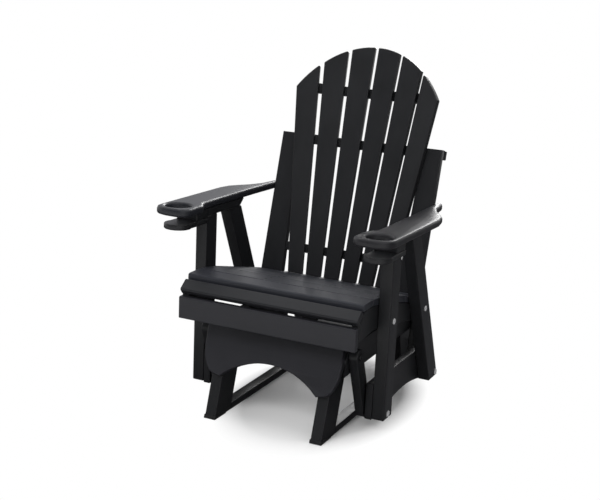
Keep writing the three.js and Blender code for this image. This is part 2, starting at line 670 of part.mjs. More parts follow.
// Curved cross rails: the front edge lies against the slats' rear faces, the rear edge is
// straight, and the ends of the lower and middle rails are stepped back behind the uprights
function backRail(name, height, end, stepped) {
  const level = height + BACK_RAIL_HEIGHT / 2;
  const edge = (count, x) => [x, slatRear(count, x) + FIT / Math.cos(slatTangent(count).turn)];
  const half = [edge(1, 0)];
  for (let count = 1; count < BACK_SLATS_A_SIDE; count += 1) {
    const lap = Math.sin(slatTangent(count).turn) + Math.sin(slatTangent(count + 1).turn);
    const x = fanLine(count, level) + (BACK_THIN * lap) / 2;
    half.push(edge(count, x), edge(count + 1, x));
  }
  const shoulder = stepped ? uprightInner(height) - FIT : end;
  half.push(edge(BACK_SLATS_A_SIDE, shoulder));
  if (stepped) {
    const step = uprightFront() + RAIL + FIT;
    half.push([shoulder, step], [end, step]);
  }
  half.push([end, BACK_RAIL_BACK, BACK_RAIL_CORNER]);
  const mirrored = half.slice(1).map(([x, y, radius]) => [-x, y, radius]).reverse();
  const shape = outline([...half, ...mirrored]);
  const mesh = add(back, name, board(shape, BACK_RAIL_HEIGHT, CUT_EASE));
  mesh.position.z = height;
}

// Uprights: tapering boards standing on the side rails, screwed to the back rails and arms
function uprights() {
  const rear = uprightFront() + RAIL;
  const foot = seatUnderBack(rear, THIN + FIT) + FIT;
  const face = outline([
    [uprightInner(foot), foot], [uprightOuter, foot],
    [uprightOuter, uprightTop], [uprightInner(uprightTop), uprightTop],
  ]);
  for (const [side, sign] of Object.entries(sides)) {
    const mesh = add(back, `back_upright_${side}`, facing(board(face, RAIL)).translate(0, rear, 0));
    mesh.scale.x = sign;
  }
}

function fanBack() {
  back.position.set(0, BACK_SEAT_Y, backSeatZ);
  back.rotation.x = -BACK_RECLINE;
  backSlats();
  uprights();
  const fanEnd = fanLine(BACK_SLATS_A_SIDE, topRailAt) - BACK_GAP / 2 - TOP_RAIL_INSET;
  backRail('back_rail_lower', LOWER_RAIL_AT, uprightOuter - LOWER_RAIL_INSET, true);
  backRail('back_rail_middle', uprightTop - MIDDLE_RAIL_DROP, uprightOuter, true);
  backRail('back_rail_top', topRailAt, fanEnd, false);
}

// Front edge of a front base leg at a height; the rear legs are its mirror image
function baseEdge(z) {
  return baseFront + BASE_LEAN_SHARE * z;
}

function mirrorY(y) {
  return baseFront + baseBack - y;
}

// Side frames of the base: leaning legs, a floor rail between their feet, a top rail outside
function baseFrames() {
  const leg = [
    [baseEdge(0), 0, CORNER], [baseEdge(0) + baseLegRun, 0, CORNER],
    [baseEdge(baseHeight) + baseLegRun, baseHeight, CORNER],
    [baseEdge(baseHeight), baseHeight, CORNER],
  ];
  const frontLeg = outline(leg);
  frontLeg.holes.push(bore(frontTop, boreRadius));
  sideBoards(glider, 'base_front_leg', frontLeg, baseInner, THICK);
  const rearLeg = outline(leg.map(([y, z, radius]) => [mirrorY(y), z, radius]).reverse());
  rearLeg.holes.push(bore(rearTop, boreRadius));
  sideBoards(glider, 'base_rear_leg', rearLeg, baseInner, THICK);

  const heel = baseEdge(0) + baseLegRun + FIT;
  const heelTop = baseEdge(FLOOR_RAIL_HEIGHT) + baseLegRun + FIT;
  sideBoards(glider, 'base_floor_rail', outline([
    [heel, 0], [mirrorY(heel), 0], [mirrorY(heelTop), FLOOR_RAIL_HEIGHT], [heelTop, FLOOR_RAIL_HEIGHT],
  ]), baseInner, THICK);

  const low = baseHeight - TOP_RAIL_HEIGHT;
  const topRail = outline([
    [baseEdge(low) + 2 * FIT, low], [topRailBack, low, TOP_RAIL_CORNER],
    [topRailBack, baseHeight, TOP_RAIL_CORNER], [baseEdge(baseHeight) + 2 * FIT, baseHeight],
  ]);
  topRail.holes.push(bore(frontTop, boreRadius), bore(rearTop, boreRadius));
  sideBoards(glider, 'base_top_rail', topRail, topRailInner, THICK - FIT);
}

// Cross boards of the base, lying on the sloping edges of its legs
function baseBoards() {
  const lean = Math.atan(BASE_LEAN_SHARE);
  const up = (z) => z / Math.cos(lean);
  const bend = baseHeight - PANEL_SHOULDER_DROP;
  const tip = baseHeight - PANEL_TOE_DROP;
  const reach = bend - tip;
  const panel = new THREE.Shape();
  panel.moveTo(panelHalfWidth, up(bend));
  panel.lineTo(panelHalfWidth, up(baseHeight + PANEL_ABOVE));
  panel.lineTo(-panelHalfWidth, up(baseHeight + PANEL_ABOVE));
  panel.lineTo(-panelHalfWidth, up(bend));
  const ears = (panelHalfWidth + panelToeX) / 2;
  const shoulder = up(bend - PANEL_SHOULDER_SHARE * reach);
  const toe = up(tip + PANEL_TOE_SHARE * reach);
  panel.bezierCurveTo(-panelHalfWidth, shoulder, -ears, toe, -panelToeX, up(tip));
  const foot = up(baseHeight - PANEL_ARCH_DROP);
  const low = arch([-panelArchHalf, foot], [panelArchHalf, foot], up(PANEL_ARCH_RISE), 16);
  for (const [x, z] of low) {
    panel.lineTo(x, z);
  }
  panel.lineTo(panelToeX, up(tip));
  panel.bezierCurveTo(ears, toe, panelHalfWidth, shoulder, panelHalfWidth, up(bend));
  const front = add(glider, 'base_front_panel', facing(board(panel, THIN, BROAD_EASE, 1, 6)));
  front.position.set(0, baseFront - FIT, 0);
  front.rotation.x = -lean;

  const half = panelHalfWidth;
  const bottom = up(REAR_BOARD_BOTTOM);
  const top = bottom + REAR_BOARD_HEIGHT;
  const rearBoard = outline([
    [-half, bottom, CORNER], [half, bottom, CORNER], [half, top, CORNER], [-half, top, CORNER],
  ]);
  const rear = add(glider, 'base_rear_board', facing(board(rearBoard, THIN)).translate(0, THIN, 0));
  rear.position.set(0, baseBack + FIT, 0);
  rear.rotation.x = lean;
}

// Glide links: boards with round ends and an eye at each end, drawn from the upper eye down
function links() {
  const radius = LINK_WIDTH / 2;
  const places = { front: [frontTop, frontLow, 0], rear: [rearTop, rearLow, OPEN_PIVOT_PLAY] };
  for (const [end, [top, low, play]] of Object.entries(places)) {
    for (const [side, sign] of Object.entries(sides)) {
      const shape = new THREE.Shape();
      shape.absarc(0, 0, radius, 0, Math.PI, false);
      shape.absarc(0, -linkLength, radius, Math.PI, 2 * Math.PI, false);
      shape.closePath();
      shape.holes.push(bore([0, 0], boreRadius), bore([0, -linkLength], boreRadius + play));
      const link = board(shape, LINK_THICKNESS, BROAD_EASE, 1, 6);
      const mesh = add(glider, `link_${end}_${side}`, onEdge(link));
      mesh.position.set(sign > 0 ? linkInner : -linkOuter, ...top);
      mesh.rotation.x = Math.atan2(low[0] - top[0], top[1] - low[1]);
    }
  }
}

// A pivot bolt: domed head, shank through the boards, washer and nut, turned round +X
function pivotBolt(grip) {
  const washer = WASHER_RADIUS;
  const profile = [
    [0, -FIT - WASHER_THICKNESS - NUT_HEIGHT], [NUT_RADIUS, -FIT - WASHER_THICKNESS - NUT_HEIGHT],
    [NUT_RADIUS, -FIT - WASHER_THICKNESS], [washer, -FIT - WASHER_THICKNESS], [washer, -FIT],
    [BOLT_RADIUS, -FIT], [BOLT_RADIUS, grip + FIT], [BOLT_HEAD_RADIUS, grip + FIT],
    [BOLT_HEAD_RADIUS * BOLT_DOME_SHARE, grip + FIT + BOLT_HEAD_HEIGHT * BOLT_RIM_SHARE],
    [0, grip + FIT + BOLT_HEAD_HEIGHT],
  ].map(([radius, along]) => new THREE.Vector2(radius, along));
  return new THREE.LatheGeometry(profile, 12).rotateZ(-Math.PI / 2);
}

// The upper bolts hold the links to the base, the lower ones hold the carriage to the links
function pivotBolts() {
  const places = {
    upper_front: [frontTop, baseInner, linkOuter],
    upper_rear: [rearTop, baseInner, linkOuter],
    lower_front: [frontLow, linkInner, outer],
    lower_rear: [rearLow, linkInner, outer],
  };
  for (const [name, [place, from, to]] of Object.entries(places)) {
    for (const [side, sign] of Object.entries(sides)) {
      const mesh = add(glider, `pivot_bolt_${name}_${side}`, pivotBolt(to - from), steelFinish());
      mesh.position.set(sign * from, ...place);
      mesh.rotation.y = sign > 0 ? 0 : Math.PI;
    }
  }
}

glider.add(armrests, back);
sideFrames();
arms();
seatRails();
seatBoards();
fanBack();
baseFrames();
baseBoards();
links();
pivotBolts();

// Origin: on the floor, in the middle of the bounding box
glider.updateMatrixWorld(true);
const middle = new THREE.Box3().setFromObject(glider, true).getCenter(new THREE.Vector3());
glider.position.y = -middle.y;

export default glider;
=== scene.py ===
"""Adirondack glider: finishes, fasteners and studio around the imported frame."""

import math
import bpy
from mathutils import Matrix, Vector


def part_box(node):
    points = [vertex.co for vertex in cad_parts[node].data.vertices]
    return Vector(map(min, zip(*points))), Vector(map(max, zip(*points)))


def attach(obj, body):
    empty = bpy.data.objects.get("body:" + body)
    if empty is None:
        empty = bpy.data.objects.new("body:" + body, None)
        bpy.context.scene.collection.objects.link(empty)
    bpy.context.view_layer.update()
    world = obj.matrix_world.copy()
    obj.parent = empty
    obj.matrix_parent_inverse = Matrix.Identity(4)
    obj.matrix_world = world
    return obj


bl_info = {
    "name": "Adirondack Glider",
    "version": (1, 0, 0),
    "blender": (4, 5, 0),
    "location": "View3D > Sidebar > Glider",
    "description": "Finishes, fasteners and a studio for a fan-backed gliding armchair",
    "category": "Object",
}

import bpy
from mathutils import Matrix, Vector

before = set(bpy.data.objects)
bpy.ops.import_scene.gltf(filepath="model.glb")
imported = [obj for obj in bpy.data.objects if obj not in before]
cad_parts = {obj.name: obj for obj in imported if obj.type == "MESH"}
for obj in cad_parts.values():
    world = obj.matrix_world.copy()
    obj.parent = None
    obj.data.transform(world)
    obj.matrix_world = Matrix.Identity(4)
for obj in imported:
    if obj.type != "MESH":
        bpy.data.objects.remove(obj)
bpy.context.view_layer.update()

MILLIMETRE = 0.001

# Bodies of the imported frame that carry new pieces
BASE = "base"
CARRIAGE = "carriage"

# The chair's own left is +X
SIDES = (("left", 1), ("right", -1))

# Places in millimetres count from the front faces of the front posts, on the floor
POST_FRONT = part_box("front_post_left")[0].y


def at(x, y, z):
    """A place in metres, from millimetres behind the posts' front."""
    return Vector((x, y, z)) * MILLIMETRE + Vector((0, POST_FRONT, 0))


# Camera
CAMERA_PLACE = at(1557.2, -3225.3, 1503.5)
CAMERA_TARGET = at(31.5, 0, 562.4)
CAMERA_ROLL = math.radians(2.6)
SENSOR_WIDTH = 36.0
FOCAL_PIXELS = 1178.4
PICTURE_WIDTH = 600.0
# Past this, a line of sight counts as upright
STRAIGHT_DOWN = 0.999

# Light of the pale surroundings on the chair, where 1 would be as bright as they look
WORLD_FILL = 0.63
# Lamps: name, place, target, size, power and whether reflections show them
LAMPS = (
    ("key", (-0.3, -3.4, 3.2), (0, 0, 0.3), (2.0, 1.4), 72.0, False),
    ("overhead", (0, -0.2, 3.6), (0, 0, 0), (2.4, 2.4), 50.0, False),
    ("left_fill", (-3.2, -1.4, 1.9), (0, 0, 0.5), (2.2, 1.8), 8.0, False),
    ("rear_light", (-0.6, 3.4, 1.85), (0.3, 0, 0.7), (1.8, 1.4), 72.0, True),
)
# Cards: name, place, target, size and grey
CARDS = (
    ("card_front", (-2.0, -4.4, 2.8), (0, 0, 0.9), (8.0, 5.4), 0.11),
    ("card_right", (3.4, 1.0, 1.4), (0, 0.4, 0.5), (7.0, 2.9), 0.07),
    ("card_floor", (-1.42, 1.5, 0.002), (-1.42, 1.5, -1.0), (3.56, 5.0), 0.04),
    ("card_floor_right", (1.88, 1.5, 0.002), (1.88, 1.5, -1.0), (3.04, 5.0), 0.15),
    ("card_rear_low", (-0.6, 1.3, 0.31), (-0.6, 0, 0.31), (3.4, 0.62), 0.1),
    ("card_rear_left", (-3.1, 3.2, 1.6), (0, 0, 0.6), (2.4, 3.0), 0.62),
)
CARD_BLUE = 1.06

# The floor's shading runs out to white over an oval round the feet
FLOOR_SIZE = 40.0
FLOOR_DROP = 0.0005
FLOOR_ROUGHNESS = 0.9
FLOOR_MIDDLE = (0.05, -0.02)
FLOOR_OVAL = (0.28, 0.45)
FLOOR_FADE = (0.85, 1.15)

# Painted reflection: how the colour of some boards differs, by the start of the name; the apron,
# front panel, seat and arms are lightened, the seat and right arm also made bluer, to stand in for
# reflections that fall on them
PAINTED_LIGHT_TONES = {
    "apron": (1.55, 1.5, 1.62),
    "base_front_panel": (1.6, 1.55, 1.68),
    "seat_nose_slat": (1.15, 1.15, 1.2),
    "seat_slat": (1.9, 1.95, 2.2),
    "arm_left": (1.1, 1.05, 1.1),
    "arm_right": (1.2, 1.25, 1.4),
}
PLAIN_GROUP = "board"
USUAL_TONE = (1, 1, 1)

# The grain is drawn out along a board, and shades its colour and gloss a little
GRAIN_STRETCH = 0.06
GRAIN_DARK = 0.84
GRAIN_LIGHT = 1.18
GLOSS_SWING = 0.05
BOARD_SPECULAR = 0.35
# Most of a noise lies in this band, and a metal's patches in the next
NOISE_BAND = (0.3, 0.7)
WEAR_BAND = (0.35, 0.7)

# Metals: name, dark and light colour, metallic and roughness
UPPER_BOLT_STEEL = ("blackened_steel", (0.02, 0.02, 0.021), (0.05, 0.05, 0.053), 0.7, 0.38)
SCREW_COATING = ("coated_screw", (0.012, 0.012, 0.013), (0.03, 0.03, 0.032), 0.5, 0.42)
ZINC_METALLIC = 0.3
ZINC_ROUGHNESS = 0.4
ZINC_DARK = 0.75
# How much smoother and duller than usual a metal is in patches
WEAR_SMOOTHER = 0.06
WEAR_DULLER = 0.08
RUBBER_DARK = (0.006, 0.006, 0.0065)
RUBBER_LIGHT = (0.012, 0.012, 0.013)
RUBBER_ROUGHNESS = (0.55, 0.7)

# Corners of the frame's boards closer than this are one
WELD_DISTANCE = 0.02 * MILLIMETRE
# Corners of new pieces closer than this are one
MERGE_DISTANCE = 0.01 * MILLIMETRE
# New pieces are shaded smoothly where their faces meet at less than this
SMOOTH_ANGLE = math.radians(40)

# Round pieces in shares of their width, from the bottom up: a ring is raised by a height, and may
# be narrowed by a scale, or it is inset by a thickness
RAISE = "raise"
INSET = "inset"
ROUND_SIDES = 16
DOMED_HEAD = (
    (RAISE, 0.05),
    (RAISE, 0.07, 0.93),
    (RAISE, 0.055, 0.84),
    (RAISE, 0.035, 0.7),
    (RAISE, 0.018, 0.45),
)
ROUND_NUT = (
    (RAISE, 0.09),
    (INSET, 0.19),
    (RAISE, 0.42),
    (RAISE, 0.05, 0.9),
    (INSET, 0.14),
    (RAISE, 0.14),
    (RAISE, 0.04, 0.8),
)
FLUSH_SCREW = ((RAISE, 0.07), (RAISE, 0.03, 0.92), (INSET, 0.25), (RAISE, -0.08, 0.8))
# Width of a nut in bolt heads, and of its washer in nuts
NUT_WIDTH = 0.7
WASHER_WIDTH = 1.35

# Bolts through a leg and the seat's side rail: name, leg, millimetres behind the posts' front
# and above the floor
LEG_BOLTS = (("post", "front_post", 33, 376), ("leg", "rear_leg", 321.5, 341.6))
BOLTED_RAIL = "seat_side_rail"

# Screws of the seat: slats, rails below them, and how far across a slat each screw is
SCREWED_SLATS = (2, 3, 4, 5, 6)
LAST_SLAT = 6
SEAT_RAILS = ("side_rail_left", "middle_rail_left", "middle_rail_right", "side_rail_right")
SEAT_SCREWS = (("front", 0.3), ("rear", 0.7))
# Screws of the back: half a slat's width beside its ends, and the least way to a rail's end
BACK_RAILS = ("back_rail_lower", "back_rail_middle", "back_rail_top")
SLAT_HALF_FOOT = 0.03
SLAT_HALF_TOP = 0.04
RAIL_END = 0.012
# Screws of the base's rear board, above and below its middle
BOARD_SCREWS = (("upper", 0.02), ("lower", -0.02))
# A screw goes in along a line that starts outside its board
FROM_ABOVE = 0.1
FROM_BEHIND = 0.2
DOWN = Vector((0, 0, -1))
FORWARD = Vector((0, -1, 0))

# Foot caps
CAP_HEIGHT = 0.0112
CAP_LIFT = 0.0008
CAP_LENGTH = 0.07
CAP_WALL = 0.0018
CAP_EDGE = 0.0007
# How far a leg leans inwards for each metre up, and the height of its toe
LEG_LEAN = 0.305
TOE_HEIGHT = 0.005
# A normal longer than this along an axis faces that way
FACES_ALONG = 0.9


# ---------------------------------------------------------------- materials


class Value:
    """A socket of a node tree. Arithmetic on it adds Math nodes."""

    def __init__(self, nodes, socket):
        self.nodes = nodes
        self.socket = socket

    def maths(self, operation, other):
        return self.nodes.node("ShaderNodeMath", {0: self, 1: other}, operation=operation)

    def __add__(self, other):
        return self.maths("ADD", other)

    __radd__ = __add__

    def __mul__(self, other):
        return self.maths("MULTIPLY", other)

    __rmul__ = __mul__


class Nodes:
    """A node tree, built one node at a time."""

    def __init__(self, tree):
        self.tree = tree

    def connect(self, target, value):
        if isinstance(value, Value):
            self.tree.links.new(value.socket, target)
        else:
            target.default_value = value

    def node(self, kind, inputs=None, output=0, **settings):
        made = self.tree.nodes.new(kind)
        for key, setting in settings.items():
            setattr(made, key, setting)
        for key, value in (inputs or {}).items():
            self.connect(made.inputs[key], value)
        return Value(self, made.outputs[output])

    def spread(self, value, band=NOISE_BAND, out=(0.0, 1.0)):
        """Carries a band of a value over to another range, and stops at its ends."""
        ends = {"From Min": band[0], "From Max": band[1], "To Min": out[0], "To Max": out[1]}
        return self.node("ShaderNodeMapRange", {"Value": value, **ends})

    def straight_rays(self):
        """1 for rays that see the surroundings straight, mirrored or through glass, else 0."""
        camera, glossy, through = (
            self.node("ShaderNodeLightPath", output=f"Is {kind} Ray")
            for kind in ("Camera", "Glossy", "Transmission")
        )
        rays = camera + glossy + through
        return self.node("ShaderNodeMath", {0: rays, 1: 1.0}, operation="MINIMUM")


class Finish(Nodes):
    """A procedural material."""

    def __init__(self, name):
        self.material = bpy.data.materials.new(name)
        self.material.use_nodes = True
        super().__init__(self.material.node_tree)
        self.shader = self.tree.nodes["Principled BSDF"]
        self.surface = self.tree.nodes["Material Output"].inputs["Surface"]

    def set(self, sockets):
        for name, value in sockets.items():
            self.connect(self.shader.inputs[name], value)

    def place(self):
        return self.node("ShaderNodeTexCoord", output="Object")

    def noise(self, place, scale, detail=2.0, roughness=0.5, stretch=(1, 1, 1)):
        """Noise with about that many patches to the metre."""
        place = self.node("ShaderNodeMapping", {"Vector": place, "Scale": stretch})
        inputs = {"Vector": place, "Scale": scale, "Detail": detail, "Roughness": roughness}
        return self.node("ShaderNodeTexNoise", inputs)

    def blend(self, factor, first, second):
        """Mixes two colours, which are the Mix node's inputs 6 and 7 and its output 2."""
        inputs = {"Factor": factor, 6: first, 7: second}
        return self.node("ShaderNodeMix", inputs, output=2, data_type="RGBA")

    def bump(self, height, distance, strength):
        inputs = {"Height": height, "Distance": distance, "Strength": strength}
        return self.node("ShaderNodeBump", inputs)


def colour(values, factor=1.0):
    return tuple(channel * factor for channel in values) + (1.0,)


def board_material(name, tone, roughness, along):
    """Satin moulded board with a faint grain that runs along one axis."""
    finish = Finish(name)
    place = finish.place()
    stretch = tuple(GRAIN_STRETCH if axis == along else 1.0 for axis in "XYZ")
    cloud = finish.noise(place, scale=7.0, detail=3.0)
    grain = finish.noise(place, scale=150.0, detail=4.0, roughness=0.6, stretch=stretch)
    streak = finish.noise(place, scale=38.0, stretch=stretch)
    speck = finish.noise(place, scale=900.0)
    shade = finish.spread(cloud * 0.5 + grain * 0.25 + streak * 0.25)
    gloss = (roughness - GLOSS_SWING, roughness + GLOSS_SWING)
    height = streak * 0.3 + grain * 0.1 + speck * 0.02
    finish.set(
        {
            "Base Color": finish.blend(shade, colour(tone, GRAIN_DARK), colour(tone, GRAIN_LIGHT)),
            "Roughness": finish.spread(streak * 0.4 + cloud * 0.6, out=gloss),
            "Specular IOR Level": BOARD_SPECULAR,
            "Normal": finish.bump(height, distance=0.0006, strength=0.35),
        }
    )
    return finish.material


def metal_material(name, dark, light, metallic, roughness):
    """Bolt or screw metal, worn a little unevenly."""
    finish = Finish(name)
    place = finish.place()
    wear = finish.noise(place, scale=240.0, detail=3.0)
    fine = finish.noise(place, scale=1500.0)
    patch = finish.spread(wear, band=WEAR_BAND)
    gloss = (roughness - WEAR_SMOOTHER, roughness + WEAR_DULLER)
    finish.set(
        {
            "Base Color": finish.blend(patch, colour(dark), colour(light)),
            "Metallic": metallic,
            "Roughness": finish.spread(wear, out=gloss),
            "Normal": finish.bump(fine, distance=0.0002, strength=0.3),
        }
    )
    return finish.material


def zinc_material(context):
    """Zinc of the bright bolts, made once."""
    light = tuple(context.scene.glider_fasteners.bright)
    dark = tuple(channel * ZINC_DARK for channel in light)
    made = bpy.data.materials.get("zinc")
    return made or metal_material("zinc", dark, light, ZINC_METALLIC, ZINC_ROUGHNESS)


def rubber_material():
    """Dull hard rubber of the foot caps."""
    finish = Finish("foot_rubber")
    mottle = finish.noise(finish.place(), scale=120.0, detail=4.0)
    patch = finish.spread(mottle)
    finish.set(
        {
            "Base Color": finish.blend(patch, colour(RUBBER_DARK), colour(RUBBER_LIGHT)),
            "Roughness": finish.spread(mottle, out=RUBBER_ROUGHNESS),
            "Normal": finish.bump(mottle, distance=0.0004, strength=0.3),
        }
    )
    return finish.material


# --------------------------------------------------------------- properties


class BoardSettings(bpy.types.PropertyGroup):
    tone: bpy.props.FloatVectorProperty(
        name="Board colour",
        description="Colour of the moulded boards",
        subtype="COLOR",
        size=3,
        min=0.0,
        max=1.0,
        default=(0.0105, 0.0109, 0.0122),
    )
    roughness: bpy.props.FloatProperty(
        name="Board roughness",
        description="Roughness of the boards' satin skin",
        min=0.0,
        max=1.0,
        default=0.42,
    )


class FastenerSettings(bpy.types.PropertyGroup):
    head_width: bpy.props.FloatProperty(
        name="Bolt head width",
        description="Width of the domed bolt heads on the legs",
        subtype="DISTANCE",
        unit="LENGTH",
        min=0.008,
        max=0.03,
        default=0.019,
    )
    screw_width: bpy.props.FloatProperty(
        name="Screw head width",
        description="Width of the flush screw heads in the boards",
        subtype="DISTANCE",
        unit="LENGTH",
        min=0.004,
        max=0.012,
        default=0.0076,
    )
    bright: bpy.props.FloatVectorProperty(
        name="Bolt colour",
        description="Colour of the zinc bolt heads",
        subtype="COLOR",
        size=3,
        min=0.0,
        max=1.0,
        default=(0.56, 0.56, 0.57),
    )


class StageSettings(bpy.types.PropertyGroup):
    floor: bpy.props.FloatVectorProperty(
        name="Floor colour",
        description="Colour of the studio floor",
        subtype="COLOR",
        size=3,
        min=0.0,
        max=1.0,
        default=(0.86, 0.86, 0.86),
    )


# ------------------------------------------------------------------- boards


def longest_axis(name):
    """The axis that a node is longest along."""
    low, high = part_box(name)
    size = high - low
    return "XYZ"[max(range(3), key=lambda axis: size[axis])]


def board_finish(name, settings, finishes):
    """The finish of a node's group of painted reflection and its grain, made when the first such
    node needs it.
    """
    batch = next((start for start in PAINTED_LIGHT_TONES if name.startswith(start)), PLAIN_GROUP)
    along = longest_axis(name)
    title = f"{batch}_{along.lower()}"
    if title not in finishes:
        shares = PAINTED_LIGHT_TONES.get(batch, USUAL_TONE)
        # Painted reflection: the group's shares lighten the tone, and for the seat and right arm
        # make it bluer
        tone = tuple(base * share for base, share in zip(settings.tone, shares))
        finishes[title] = board_material(title, tone, settings.roughness, along)
    return finishes[title]


def smooth_edges(node):
    """Shades a node's eased edges smoothly and leaves its faces flat."""
    for polygon in node.data.polygons:
        polygon.use_smooth = True
    weld = node.modifiers.new("weld", "WELD")
    weld.merge_threshold = WELD_DISTANCE
    normals = node.modifiers.new("normals", "WEIGHTED_NORMAL")
    normals.mode = "FACE_AREA"
    normals.keep_sharp = False


class GLIDER_OT_boards(bpy.types.Operator):
    """Gives every board of the frame its satin finish and soft edges"""

    bl_idname = "glider.boards"
    bl_label = "Boards"

    def execute(self, context):
        settings = context.scene.glider_boards
        dark_steel = metal_material(*UPPER_BOLT_STEEL)
        zinc = zinc_material(context)
        finishes = {}
        for name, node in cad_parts.items():
            if name.startswith("pivot_bolt"):
                material = zinc if "lower" in name else dark_steel
            else:
                material = board_finish(name, settings, finishes)
            node.data.materials.clear()
            node.data.materials.append(material)
            smooth_edges(node)
        return {"FINISHED"}


# ---------------------------------------------------------- bolts and screws


def round_piece(name, width, steps, foot_width=1.0):
    """A round piece that stands on the floor at the origin, made ring by ring."""
    bpy.ops.object.select_all(action="DESELECT")
    bpy.ops.mesh.primitive_circle_add(
        vertices=ROUND_SIDES, radius=foot_width * width / 2, fill_type="NGON", location=(0, 0, 0)
    )
    made = bpy.context.object
    made.name = name
    bpy.ops.object.mode_set(mode="EDIT")
    bpy.ops.mesh.select_all(action="SELECT")
    for step, share, *scales in steps:
        if step == INSET:
            bpy.ops.mesh.inset(thickness=share * width, depth=0)
            continue
        rise = (0, 0, share * width)
        bpy.ops.mesh.extrude_region_move(TRANSFORM_OT_translate={"value": rise})
        for scale in scales:
            bpy.ops.transform.resize(value=(scale, scale, 1))
    bpy.ops.mesh.select_all(action="SELECT")
    bpy.ops.mesh.remove_doubles(threshold=MERGE_DISTANCE)
    bpy.ops.mesh.normals_make_consistent(inside=False)
    bpy.ops.object.mode_set(mode="OBJECT")
    bpy.ops.object.select_all(action="DESELECT")
    made.select_set(True)
    bpy.ops.object.shade_smooth_by_angle(angle=SMOOTH_ANGLE)
    return made


def place_copies(pattern, places, body, material):
    """Copies a steel pattern to each named place, its +Z turned along the outward normal."""
    for name, (place, normal) in places.items():
        made = pattern.copy()
        made.data = pattern.data.copy()
        made.name = made.data.name = name
        bpy.context.scene.collection.objects.link(made)
        turn = Vector((0, 0, 1)).rotation_difference(normal).to_matrix().to_4x4()
        made.data.transform(Matrix.Translation(place) @ turn)
        made.data.materials.clear()
        made.data.materials.append(material)
        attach(made, body)
    bpy.data.objects.remove(pattern)


def face_towards(node, sign):
    """The x of a node's face on the chair's left, sign 1, or right, sign -1."""
    low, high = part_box(node)
    return high.x if sign > 0 else low.x


class GLIDER_OT_bolts(bpy.types.Operator):
    """Adds the domed bolt heads on the legs and the nuts behind them"""

    bl_idname = "glider.bolts"
    bl_label = "Bolts"

    def execute(self, context):
        width = context.scene.glider_fasteners.head_width
        heads, nuts = {}, {}
        for side, sign in SIDES:
            outwards = Vector((sign, 0, 0))
            for part, leg, y, z in LEG_BOLTS:
                head, nut = at(0, y, z), at(0, y, z)
                head.x = face_towards(f"{leg}_{side}", sign)
                nut.x = face_towards(f"{BOLTED_RAIL}_{side}", -sign)
                heads[f"bolt_head_{part}_{side}"] = (head, outwards)
                nuts[f"bolt_nut_{part}_{side}"] = (nut, -outwards)
        zinc = zinc_material(context)
        domed_head = round_piece("domed_head", width, DOMED_HEAD)
        place_copies(domed_head, heads, CARRIAGE, zinc)
        round_nut = round_piece("round_nut", NUT_WIDTH * width, ROUND_NUT, WASHER_WIDTH)
        place_copies(round_nut, nuts, CARRIAGE, zinc)
        return {"FINISHED"}


def seat_screws():
    """Lines down into the seat slats over each rail: name, node, start and direction."""
    for number in SCREWED_SLATS:
        slat = f"seat_slat_{number}"
        low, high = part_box(slat)
        for rail in SEAT_RAILS:
            # The last slat is cut away round the uprights, where the side rails are
            if number == LAST_SLAT and rail.startswith("side"):
                continue
            rail_low, rail_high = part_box(f"seat_{rail}")
            across = (rail_low.x + rail_high.x) / 2
            for end, share in SEAT_SCREWS:
                along = low.y + share * (high.y - low.y)
                start = Vector((across, along, high.z + FROM_ABOVE))
                yield f"screw_{slat}_{rail}_{end}", slat, start, DOWN


def back_screws():
    """Lines from behind into the back's rails, one for each slat that a rail reaches."""
    for rail in BACK_RAILS:
        rail_low, rail_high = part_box(rail)
        height = (rail_low.z + rail_high.z) / 2
        furthest = max(abs(rail_low.x), abs(rail_high.x)) - RAIL_END
        for side, sign in SIDES:
            for number in (1, 2, 3):
                low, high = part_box(f"back_slat_{side}_{number}")
                share = (height - low.z) / (high.z - low.z)
                # A slat leans outwards, so its middle at the rail's height is between its ends
                nearest, outermost = sorted((abs(low.x), abs(high.x)))
                foot, top = nearest + SLAT_HALF_FOOT, outermost - SLAT_HALF_TOP
                across = sign * (foot + share * (top - foot))
                if abs(across) <= furthest:
                    start = Vector((across, rail_high.y + FROM_BEHIND, height))
                    yield f"screw_{rail}_{side}_{number}", rail, start, FORWARD


def base_screws():
    """Lines from behind through the base's rear board into its legs."""
    board = "base_rear_board"
    low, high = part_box(board)
    for side, _ in SIDES:
        leg_low, leg_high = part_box(f"base_rear_leg_{side}")
        across = (leg_low.x + leg_high.x) / 2
        for end, offset in BOARD_SCREWS:
            height = (low.z + high.z) / 2 + offset
            start = Vector((across, high.y + FROM_BEHIND, height))
            yield f"screw_{board}_{side}_{end}", board, start, FORWARD


def surface_of(node, start, direction):
    """Where a line first meets a node, and the outward normal there."""
    found, place, normal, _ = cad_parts[node].ray_cast(start, direction)
    if not found:
        raise RuntimeError(f"a screw misses {node}")
    return place, normal


class GLIDER_OT_screws(bpy.types.Operator):
    """Adds the flush screws that hold the seat, back and base boards"""

    bl_idname = "glider.screws"
    bl_label = "Screws"

    def execute(self, context):
        width = context.scene.glider_fasteners.screw_width
        coating = metal_material(*SCREW_COATING)
        for body, lines in ((CARRIAGE, (*seat_screws(), *back_screws())), (BASE, base_screws())):
            spots = {name: surface_of(*line) for name, *line in lines}
            place_copies(round_piece("flush_screw", width, FLUSH_SCREW), spots, body, coating)
        return {"FINISHED"}


# ---------------------------------------------------------------- foot caps


